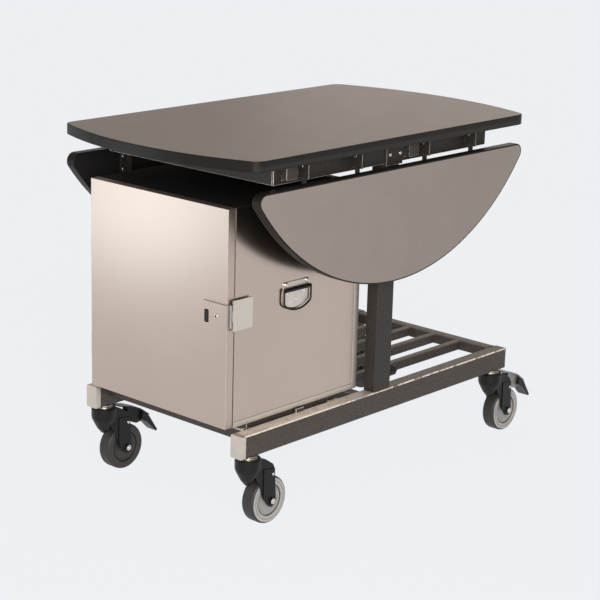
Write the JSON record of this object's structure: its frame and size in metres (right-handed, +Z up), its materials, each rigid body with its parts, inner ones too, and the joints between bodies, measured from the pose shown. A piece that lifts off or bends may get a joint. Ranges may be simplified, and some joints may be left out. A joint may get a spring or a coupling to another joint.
{
  "type": "room service table",
  "caption": "Rolling room service table with curved top, two hanging round leaves, slatted rack and a stainless hot box with a latched door.",
  "frame": {"origin": "on the floor, under the centre of the whole object's box", "axes": "+X runs along the table away from the hot box door, the near side is -Y, +Z is up"},
  "size_m": [1.056, 0.55, 0.76],
  "materials": {
    "laminate": "satin warm grey laminate with a fine mottle",
    "edge_band": "satin black-brown edge band",
    "hammertone": "dark brown hammertone paint",
    "bright_zinc": "bright zinc plate",
    "black_plastic": "moulded, matte",
    "grey_tyre": "matte grey rubber",
    "grey_metal": "plated pressed steel",
    "stainless": "brushed stainless steel",
    "liner_steel": "dull stainless steel",
    "mineral_wool": "mineral wool",
    "black_rubber": "matte",
    "bright_wire": "chromed wire",
    "handle_steel": "worn plated steel",
    "handle_rod": "dark coated rod"
  },
  "bodies": {
    "table": {"top_panel": "laminate", "top_edge_band": "edge_band", "hinge_lugs": "hammertone", "hinge_pins": "bright_zinc", "apron_near": "hammertone", "apron_far": "hammertone", "frame_end_rails": "hammertone", "bar_guides": "hammertone", "post_near": "hammertone", "post_far": "hammertone", "post_head_plates": "hammertone", "rail_near": "hammertone", "rail_far": "hammertone", "rail_end_caps": "bright_zinc", "cross_tubes": "hammertone", "rack_slats": "hammertone", "box_supports": "hammertone", "caster_stems": "bright_zinc", "box_wrapper": "stainless", "box_back_panel": "stainless", "box_base_pan": "stainless", "box_insulation": "mineral_wool", "box_liner": "liner_steel", "box_feet": "black_rubber", "shelf_runners": "liner_steel", "wire_shelves": "bright_wire", "fuel_tray": "liner_steel", "box_hinge_leaves": "bright_zinc", "latch_keeper": "bright_zinc", "bail_plates": "handle_steel"},
    "leaf_near": {"leaf_near_panel": "laminate", "leaf_near_edge_band": "edge_band", "hinge_arms_near": "hammertone"},
    "leaf_far": {"leaf_far_panel": "laminate", "leaf_far_edge_band": "edge_band", "hinge_arms_far": "hammertone"},
    "bar_near_outer": {"support_bar_near_outer": "hammertone"},
    "bar_near_inner": {"support_bar_near_inner": "hammertone"},
    "bar_far_outer": {"support_bar_far_outer": "hammertone"},
    "bar_far_inner": {"support_bar_far_inner": "hammertone"},
    "knob_near": {"clamp_knob_near": "black_plastic"},
    "knob_far": {"clamp_knob_far": "black_plastic"},
    "door": {"door_skin": "stainless", "door_inner_panel": "liner_steel", "door_gasket": "black_rubber", "door_hinge_leaves": "bright_zinc", "latch_plate": "stainless"},
    "latch": {"latch_flap": "stainless"},
    "handle_near": {"bail_near": "handle_rod"},
    "handle_far": {"bail_far": "handle_rod"},
    "swivel_fl": {"caster_fork_fl": "black_plastic"},
    "wheel_fl": {"caster_wheel_fl": "grey_tyre"},
    "swivel_fr": {"caster_fork_fr": "black_plastic"},
    "wheel_fr": {"caster_wheel_fr": "grey_tyre"},
    "swivel_bl": {"caster_fork_bl": "black_plastic"},
    "wheel_bl": {"caster_wheel_bl": "grey_tyre"},
    "swivel_br": {"caster_fork_br": "black_plastic"},
    "wheel_br": {"caster_wheel_br": "grey_tyre"},
    "brake_fr": {"brake_pedal_fr": "grey_metal"},
    "brake_bl": {"brake_pedal_bl": "grey_metal"}
  },
  "joints": [
    {"name": "leaf_near_hinge", "type": "hinge", "parent": "table", "child": "leaf_near", "pos_m": [-0.05, -0.244, 0.729], "axis": [-1, 0, 0], "range_deg": [0, 90]},
    {"name": "leaf_far_hinge", "type": "hinge", "parent": "table", "child": "leaf_far", "pos_m": [-0.05, 0.244, 0.729], "axis": [1, 0, 0], "range_deg": [0, 90]},
    {"name": "bar_near_outer_slide", "type": "slide", "parent": "table", "child": "bar_near_outer", "axis": [0, -1, 0], "range_m": [0, 0.2]},
    {"name": "bar_near_inner_slide", "type": "slide", "parent": "table", "child": "bar_near_inner", "axis": [0, -1, 0], "range_m": [0, 0.2]},
    {"name": "bar_far_outer_slide", "type": "slide", "parent": "table", "child": "bar_far_outer", "axis": [0, 1, 0], "range_m": [0, 0.2]},
    {"name": "bar_far_inner_slide", "type": "slide", "parent": "table", "child": "bar_far_inner", "axis": [0, 1, 0], "range_m": [0, 0.2]},
    {"name": "knob_near_turn", "type": "hinge", "parent": "table", "child": "knob_near", "pos_m": [-0.0015, -0.2135, 0.235], "axis": [1, 0, 0], "continuous": true},
    {"name": "knob_far_turn", "type": "hinge", "parent": "table", "child": "knob_far", "pos_m": [-0.0015, 0.2135, 0.235], "axis": [1, 0, 0], "continuous": true},
    {"name": "swivel_fl_turn", "type": "hinge", "parent": "table", "child": "swivel_fl", "pos_m": [-0.422, -0.2135, 0.15], "axis": [0, 0, 1], "continuous": true},
    {"name": "wheel_fl_roll", "type": "hinge", "parent": "swivel_fl", "child": "wheel_fl", "pos_m": [-0.374, -0.2135, 0.05], "axis": [0, 1, 0], "continuous": true},
    {"name": "swivel_fr_turn", "type": "hinge", "parent": "table", "child": "swivel_fr", "pos_m": [0.386, -0.2135, 0.15], "axis": [0, 0, 1], "continuous": true},
    {"name": "wheel_fr_roll", "type": "hinge", "parent": "swivel_fr", "child": "wheel_fr", "pos_m": [0.434, -0.2135, 0.05], "axis": [0, 1, 0], "continuous": true},
    {"name": "swivel_bl_turn", "type": "hinge", "parent": "table", "child": "swivel_bl", "pos_m": [-0.422, 0.2135, 0.15], "axis": [0, 0, 1], "continuous": true},
    {"name": "wheel_bl_roll", "type": "hinge", "parent": "swivel_bl", "child": "wheel_bl", "pos_m": [-0.374, 0.2135, 0.05], "axis": [0, 1, 0], "continuous": true},
    {"name": "swivel_br_turn", "type": "hinge", "parent": "table", "child": "swivel_br", "pos_m": [0.386, 0.2135, 0.15], "axis": [0, 0, 1], "continuous": true},
    {"name": "wheel_br_roll", "type": "hinge", "parent": "swivel_br", "child": "wheel_br", "pos_m": [0.434, 0.2135, 0.05], "axis": [0, 1, 0], "continuous": true},
    {"name": "brake_fr_press", "type": "hinge", "parent": "swivel_fr", "child": "brake_fr", "pos_m": [0.436, -0.2135, 0.107], "axis": [0, 1, 0], "range_deg": [0, 7]},
    {"name": "brake_bl_press", "type": "hinge", "parent": "swivel_bl", "child": "brake_bl", "pos_m": [-0.372, 0.2135, 0.107], "axis": [0, 1, 0], "range_deg": [0, 7]},
    {"name": "door_hinge", "type": "hinge", "parent": "table", "child": "door", "pos_m": [-0.4505, 0.203, 0.435], "axis": [0, 0, -1], "range_deg": [0, 120]},
    {"name": "latch_hinge", "type": "hinge", "parent": "door", "child": "latch", "pos_m": [-0.465, -0.2005, 0.445], "axis": [0, 0, -1], "range_deg": [0, 100]},
    {"name": "handle_near_lift", "type": "hinge", "parent": "table", "child": "handle_near", "pos_m": [-0.2745, -0.2015, 0.468], "axis": [-1, 0, 0], "range_deg": [0, 90]},
    {"name": "handle_far_lift", "type": "hinge", "parent": "table", "child": "handle_far", "pos_m": [-0.2745, 0.2015, 0.468], "axis": [1, 0, 0], "range_deg": [0, 90]}
  ]
}
